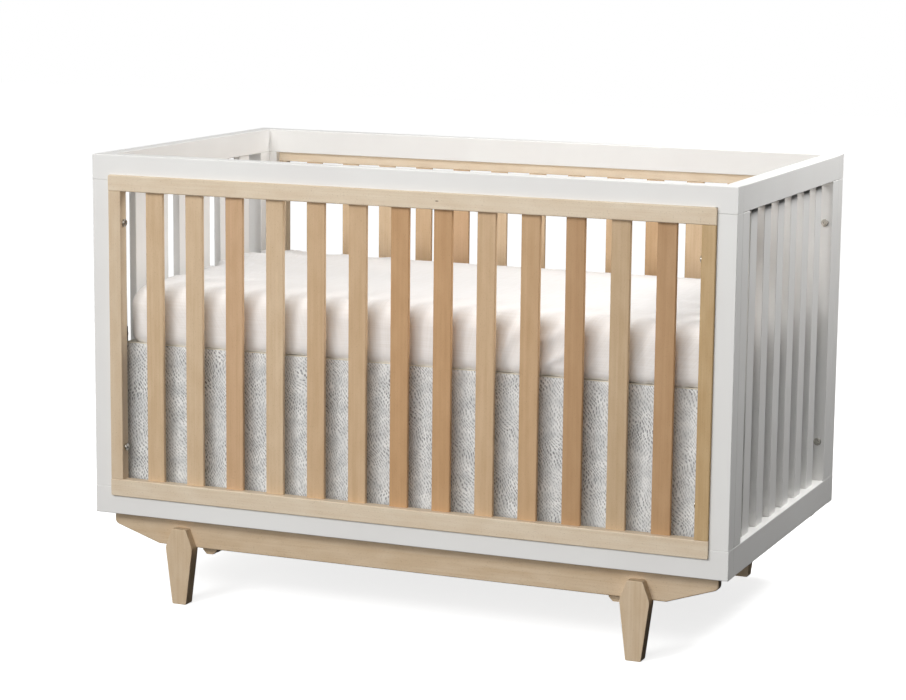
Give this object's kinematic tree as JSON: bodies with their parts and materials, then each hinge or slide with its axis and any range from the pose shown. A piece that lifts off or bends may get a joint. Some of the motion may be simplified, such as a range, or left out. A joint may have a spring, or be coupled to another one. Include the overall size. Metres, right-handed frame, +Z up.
{
  "type": "baby crib",
  "caption": "Box-shaped baby crib with slatted wooden guards set in white frames, raised on a tapered-leg base, with mattress, fitted sheet and skirt.",
  "frame": {"origin": "on the floor, under the middle of the crib's box", "axes": "+X along the crib's length, +Y from the front to the rear, +Z up"},
  "size_m": [1.4, 0.797, 0.949],
  "materials": {
    "white_lacquer": "satin white lacquer on wood",
    "natural_wood": "pale beech with a matt clear finish",
    "support_wood": "plain sanded pine",
    "bracket_steel": "zinc-plated pressed steel",
    "bolt_metal": "nickel-plated steel",
    "insert_metal": "zinc-plated steel",
    "mattress_ticking": "woven ticking",
    "sheet_cotton": "washed cotton",
    "skirt_print": "cotton with a fine dashed print",
    "skirt_lining": "plain muslin"
  },
  "bodies": {
    "frame": {"base_bolts": "bolt_metal", "end_panel_bolts": "bolt_metal", "frame_inserts": "insert_metal", "front_apron": "natural_wood", "front_base_ledger": "support_wood", "front_bottom_rail": "white_lacquer", "front_guard_bottom_rail": "natural_wood", "front_guard_left_stile": "natural_wood", "front_guard_right_stile": "natural_wood", "front_guard_slats": "natural_wood", "front_guard_top_rail": "natural_wood", "front_left_leg": "natural_wood", "front_left_post": "white_lacquer", "front_right_leg": "natural_wood", "front_right_post": "white_lacquer", "front_top_rail": "white_lacquer", "guard_bolts": "bolt_metal", "height_inserts": "insert_metal", "left_cross_rail": "natural_wood", "left_end_bottom_rail": "white_lacquer", "left_end_front_stile": "white_lacquer", "left_end_rear_stile": "white_lacquer", "left_end_slats": "white_lacquer", "left_end_top_rail": "white_lacquer", "leg_bolts": "bolt_metal", "rear_apron": "natural_wood", "rear_base_ledger": "support_wood", "rear_bottom_rail": "white_lacquer", "rear_guard_bottom_rail": "natural_wood", "rear_guard_left_stile": "natural_wood", "rear_guard_right_stile": "natural_wood", "rear_guard_slats": "natural_wood", "rear_guard_top_rail": "natural_wood", "rear_left_leg": "natural_wood", "rear_left_post": "white_lacquer", "rear_right_leg": "natural_wood", "rear_right_post": "white_lacquer", "rear_top_rail": "white_lacquer", "right_cross_rail": "natural_wood", "right_end_bottom_rail": "white_lacquer", "right_end_front_stile": "white_lacquer", "right_end_rear_stile": "white_lacquer", "right_end_slats": "white_lacquer", "right_end_top_rail": "white_lacquer"},
    "support": {"bracket_bolts": "bolt_metal", "bracket_screws": "bolt_metal", "front_skirt": "skirt_print", "left_skirt": "skirt_print", "rear_skirt": "skirt_print", "right_skirt": "skirt_print", "skirt_deck": "skirt_lining", "support_brackets": "bracket_steel", "support_front_rail": "support_wood", "support_left_rail": "support_wood", "support_rear_rail": "support_wood", "support_right_rail": "support_wood", "support_slats": "support_wood"},
    "bedding": {"mattress": "mattress_ticking", "fitted_sheet": "sheet_cotton"}
  },
  "joints": [
    {"name": "support_height", "type": "slide", "parent": "frame", "child": "support", "axis": [0, 0, 1], "range_m": [-0.258, 0], "deforming": ["front_skirt", "rear_skirt", "left_skirt", "right_skirt"]},
    {"name": "mattress_lift", "type": "slide", "parent": "support", "child": "bedding", "axis": [0, 0, 1], "range_m": [0, 0.45]}
  ]
}
